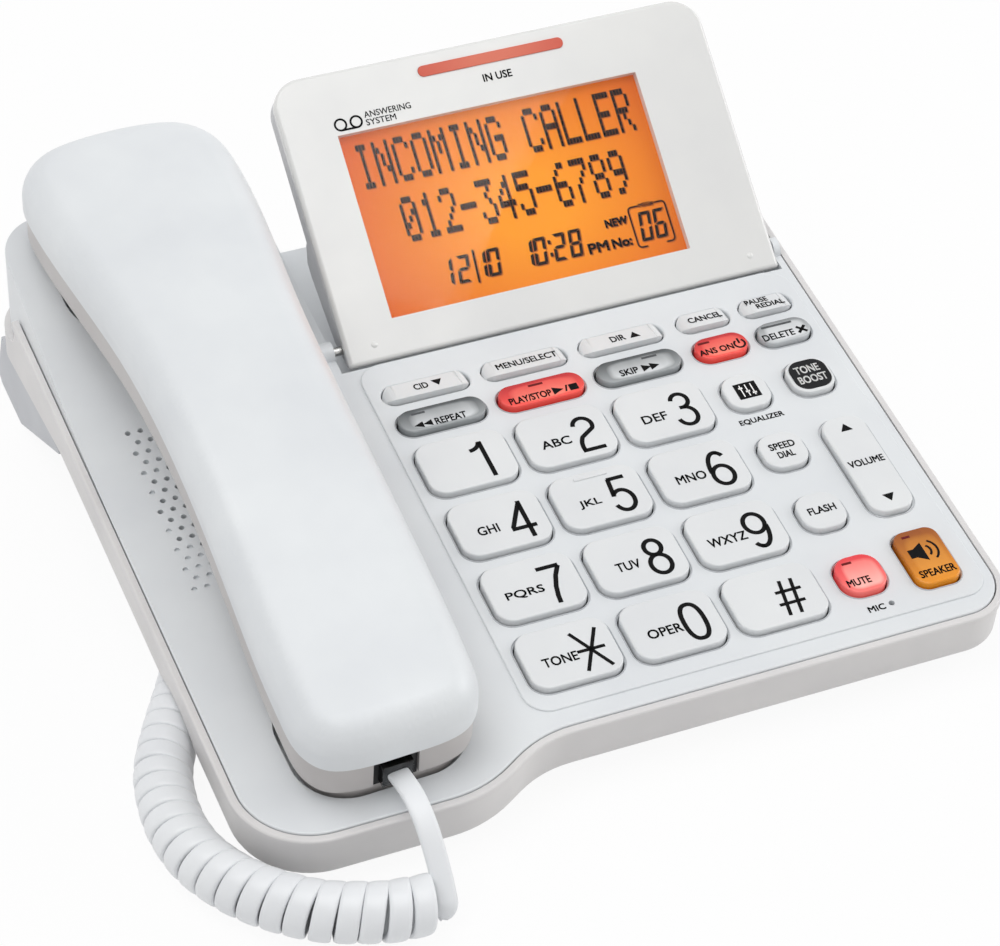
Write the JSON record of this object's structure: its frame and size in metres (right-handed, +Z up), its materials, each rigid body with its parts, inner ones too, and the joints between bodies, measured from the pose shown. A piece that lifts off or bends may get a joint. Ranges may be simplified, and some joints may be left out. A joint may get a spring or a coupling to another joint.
{
  "type": "corded desk telephone",
  "caption": "White corded desk telephone with large keys, tilting display panel, answering controls, speaker grille and a handset on a curly cord.",
  "frame": {"origin": "on the surface it stands on, below the middle of the phone's bounding box without its cord", "axes": "+X to the user's right, +Y away from the user, +Z up"},
  "size_m": [0.2213, 0.2441, 0.0879],
  "materials": {
    "white_plastic": "satin",
    "warm_grey_plastic": "satin",
    "clear_key": "gloss",
    "red_key": "gloss",
    "amber_key": "gloss",
    "black_key": "gloss",
    "clear_window": "gloss",
    "clear_plug": "gloss",
    "screen": "gloss",
    "lamp": "gloss",
    "black_plastic": "matte",
    "board": "matte",
    "grey_rubber": "matte",
    "rubber": "matte",
    "cord": "satin",
    "steel": "satin"
  },
  "bodies": {
    "base": {"top_housing": "white_plastic", "bottom_housing": "warm_grey_plastic", "desk_stand": "warm_grey_plastic", "rubber_feet": "rubber", "housing_screws": "steel", "main_board": "board", "key_mat": "grey_rubber", "status_leds": "lamp", "loudspeaker": "black_plastic", "line_jack": "black_plastic", "power_jack": "black_plastic", "cord_jack": "black_plastic", "curly_cord": "cord", "base_cord_lead": "cord", "base_cord_plug": "clear_plug"},
    "display": {"display_frame": "white_plastic", "display_window": "clear_window", "lcd_panel": "screen", "backlight_panel": "screen", "in_use_lamp": "lamp", "display_rear_cover": "warm_grey_plastic", "hinge_pins": "steel"},
    "handset": {"handset_top_shell": "white_plastic", "handset_bottom_shell": "warm_grey_plastic", "handset_receiver": "black_plastic", "handset_microphone": "black_plastic", "handset_screws": "steel", "handset_jack": "black_plastic", "handset_cord_plug": "clear_plug", "handset_cord_lead": "cord"},
    "hook": {"hook_switch": "white_plastic"},
    "key_1_body": {"key_1": "white_plastic"},
    "key_2_body": {"key_2": "white_plastic"},
    "key_3_body": {"key_3": "white_plastic"},
    "key_4_body": {"key_4": "white_plastic"},
    "key_5_body": {"key_5": "white_plastic"},
    "key_6_body": {"key_6": "white_plastic"},
    "key_7_body": {"key_7": "white_plastic"},
    "key_8_body": {"key_8": "white_plastic"},
    "key_9_body": {"key_9": "white_plastic"},
    "key_star_body": {"key_star": "white_plastic"},
    "key_0_body": {"key_0": "white_plastic"},
    "key_hash_body": {"key_hash": "white_plastic"},
    "calls_key_body": {"calls_key": "white_plastic"},
    "menu_key_body": {"menu_key": "white_plastic"},
    "directory_key_body": {"directory_key": "white_plastic"},
    "cancel_key_body": {"cancel_key": "white_plastic"},
    "redial_key_body": {"redial_key": "white_plastic"},
    "repeat_key_body": {"repeat_key": "clear_key"},
    "play_stop_key_body": {"play_stop_key": "red_key"},
    "skip_key_body": {"skip_key": "clear_key"},
    "answer_on_key_body": {"answer_on_key": "red_key"},
    "delete_key_body": {"delete_key": "clear_key"},
    "equalizer_key_body": {"equalizer_key": "white_plastic"},
    "tone_boost_key_body": {"tone_boost_key": "black_key"},
    "speed_dial_key_body": {"speed_dial_key": "white_plastic"},
    "flash_key_body": {"flash_key": "white_plastic"},
    "mute_key_body": {"mute_key": "red_key"},
    "speaker_key_body": {"speaker_key": "amber_key"},
    "volume_rocker_body": {"volume_rocker": "white_plastic"}
  },
  "joints": [
    {"name": "display_tilt", "type": "hinge", "parent": "base", "child": "display", "pos_m": [0.03673, 0.03869, 0.03753], "axis": [1, 0, 0], "range_deg": [-30, 12]},
    {"name": "handset_lift", "type": "slide", "parent": "base", "child": "handset", "axis": [0, -0.1392, 0.9903], "range_m": [0, 0.06]},
    {"name": "hook_slide", "type": "slide", "parent": "base", "child": "hook", "axis": [0, -0.1392, 0.9903], "range_m": [0, 0.0036]},
    {"name": "key_1_press", "type": "slide", "parent": "base", "child": "key_1_body", "axis": [0, 0.1392, -0.9903], "range_m": [0, 0.0012], "stiffness_N_per_m": 400, "springref_m": -0.0005},
    {"name": "key_2_press", "type": "slide", "parent": "base", "child": "key_2_body", "axis": [0, 0.1392, -0.9903], "range_m": [0, 0.0012], "stiffness_N_per_m": 400, "springref_m": -0.0005},
    {"name": "key_3_press", "type": "slide", "parent": "base", "child": "key_3_body", "axis": [0, 0.1392, -0.9903], "range_m": [0, 0.0012], "stiffness_N_per_m": 400, "springref_m": -0.0005},
    {"name": "key_4_press", "type": "slide", "parent": "base", "child": "key_4_body", "axis": [0, 0.1392, -0.9903], "range_m": [0, 0.0012], "stiffness_N_per_m": 400, "springref_m": -0.0005},
    {"name": "key_5_press", "type": "slide", "parent": "base", "child": "key_5_body", "axis": [0, 0.1392, -0.9903], "range_m": [0, 0.0012], "stiffness_N_per_m": 400, "springref_m": -0.0005},
    {"name": "key_6_press", "type": "slide", "parent": "base", "child": "key_6_body", "axis": [0, 0.1392, -0.9903], "range_m": [0, 0.0012], "stiffness_N_per_m": 400, "springref_m": -0.0005},
    {"name": "key_7_press", "type": "slide", "parent": "base", "child": "key_7_body", "axis": [0, 0.1392, -0.9903], "range_m": [0, 0.0012], "stiffness_N_per_m": 400, "springref_m": -0.0005},
    {"name": "key_8_press", "type": "slide", "parent": "base", "child": "key_8_body", "axis": [0, 0.1392, -0.9903], "range_m": [0, 0.0012], "stiffness_N_per_m": 400, "springref_m": -0.0005},
    {"name": "key_9_press", "type": "slide", "parent": "base", "child": "key_9_body", "axis": [0, 0.1392, -0.9903], "range_m": [0, 0.0012], "stiffness_N_per_m": 400, "springref_m": -0.0005},
    {"name": "key_star_press", "type": "slide", "parent": "base", "child": "key_star_body", "axis": [0, 0.1392, -0.9903], "range_m": [0, 0.0012], "stiffness_N_per_m": 400, "springref_m": -0.0005},
    {"name": "key_0_press", "type": "slide", "parent": "base", "child": "key_0_body", "axis": [0, 0.1392, -0.9903], "range_m": [0, 0.0012], "stiffness_N_per_m": 400, "springref_m": -0.0005},
    {"name": "key_hash_press", "type": "slide", "parent": "base", "child": "key_hash_body", "axis": [0, 0.1392, -0.9903], "range_m": [0, 0.0012], "stiffness_N_per_m": 400, "springref_m": -0.0005},
    {"name": "calls_key_press", "type": "slide", "parent": "base", "child": "calls_key_body", "axis": [0, 0.1392, -0.9903], "range_m": [0, 0.0012], "stiffness_N_per_m": 400, "springref_m": -0.0005},
    {"name": "menu_key_press", "type": "slide", "parent": "base", "child": "menu_key_body", "axis": [0, 0.1392, -0.9903], "range_m": [0, 0.0012], "stiffness_N_per_m": 400, "springref_m": -0.0005},
    {"name": "directory_key_press", "type": "slide", "parent": "base", "child": "directory_key_body", "axis": [0, 0.1392, -0.9903], "range_m": [0, 0.0012], "stiffness_N_per_m": 400, "springref_m": -0.0005},
    {"name": "cancel_key_press", "type": "slide", "parent": "base", "child": "cancel_key_body", "axis": [0, 0.1392, -0.9903], "range_m": [0, 0.0012], "stiffness_N_per_m": 400, "springref_m": -0.0005},
    {"name": "redial_key_press", "type": "slide", "parent": "base", "child": "redial_key_body", "axis": [0, 0.1392, -0.9903], "range_m": [0, 0.0012], "stiffness_N_per_m": 400, "springref_m": -0.0005},
    {"name": "repeat_key_press", "type": "slide", "parent": "base", "child": "repeat_key_body", "axis": [0, 0.1392, -0.9903], "range_m": [0, 0.0012], "stiffness_N_per_m": 400, "springref_m": -0.0005},
    {"name": "play_stop_key_press", "type": "slide", "parent": "base", "child": "play_stop_key_body", "axis": [0, 0.1392, -0.9903], "range_m": [0, 0.0012], "stiffness_N_per_m": 400, "springref_m": -0.0005},
    {"name": "skip_key_press", "type": "slide", "parent": "base", "child": "skip_key_body", "axis": [0, 0.1392, -0.9903], "range_m": [0, 0.0012], "stiffness_N_per_m": 400, "springref_m": -0.0005},
    {"name": "answer_on_key_press", "type": "slide", "parent": "base", "child": "answer_on_key_body", "axis": [0, 0.1392, -0.9903], "range_m": [0, 0.0012], "stiffness_N_per_m": 400, "springref_m": -0.0005},
    {"name": "delete_key_press", "type": "slide", "parent": "base", "child": "delete_key_body", "axis": [0, 0.1392, -0.9903], "range_m": [0, 0.0012], "stiffness_N_per_m": 400, "springref_m": -0.0005},
    {"name": "equalizer_key_press", "type": "slide", "parent": "base", "child": "equalizer_key_body", "axis": [0, 0.1392, -0.9903], "range_m": [0, 0.0012], "stiffness_N_per_m": 400, "springref_m": -0.0005},
    {"name": "tone_boost_key_press", "type": "slide", "parent": "base", "child": "tone_boost_key_body", "axis": [0, 0.1392, -0.9903], "range_m": [0, 0.0012], "stiffness_N_per_m": 400, "springref_m": -0.0005},
    {"name": "speed_dial_key_press", "type": "slide", "parent": "base", "child": "speed_dial_key_body", "axis": [0, 0.1392, -0.9903], "range_m": [0, 0.0012], "stiffness_N_per_m": 400, "springref_m": -0.0005},
    {"name": "flash_key_press", "type": "slide", "parent": "base", "child": "flash_key_body", "axis": [0, 0.1392, -0.9903], "range_m": [0, 0.0012], "stiffness_N_per_m": 400, "springref_m": -0.0005},
    {"name": "mute_key_press", "type": "slide", "parent": "base", "child": "mute_key_body", "axis": [0, 0.1392, -0.9903], "range_m": [0, 0.0012], "stiffness_N_per_m": 400, "springref_m": -0.0005},
    {"name": "speaker_key_press", "type": "slide", "parent": "base", "child": "speaker_key_body", "axis": [0, 0.1392, -0.9903], "range_m": [0, 0.0012], "stiffness_N_per_m": 400, "springref_m": -0.0005},
    {"name": "volume_rock", "type": "hinge", "parent": "base", "child": "volume_rocker_body", "pos_m": [0.08733, -0.04344, 0.02318], "axis": [1, 0, 0], "range_deg": [-1.6, 1.6], "stiffness_Nm_per_rad": 0.3}
  ],
  "couplings": [
    {"joint": "hook_slide", "follows": "handset_lift", "ratio": 0.06}
  ]
}
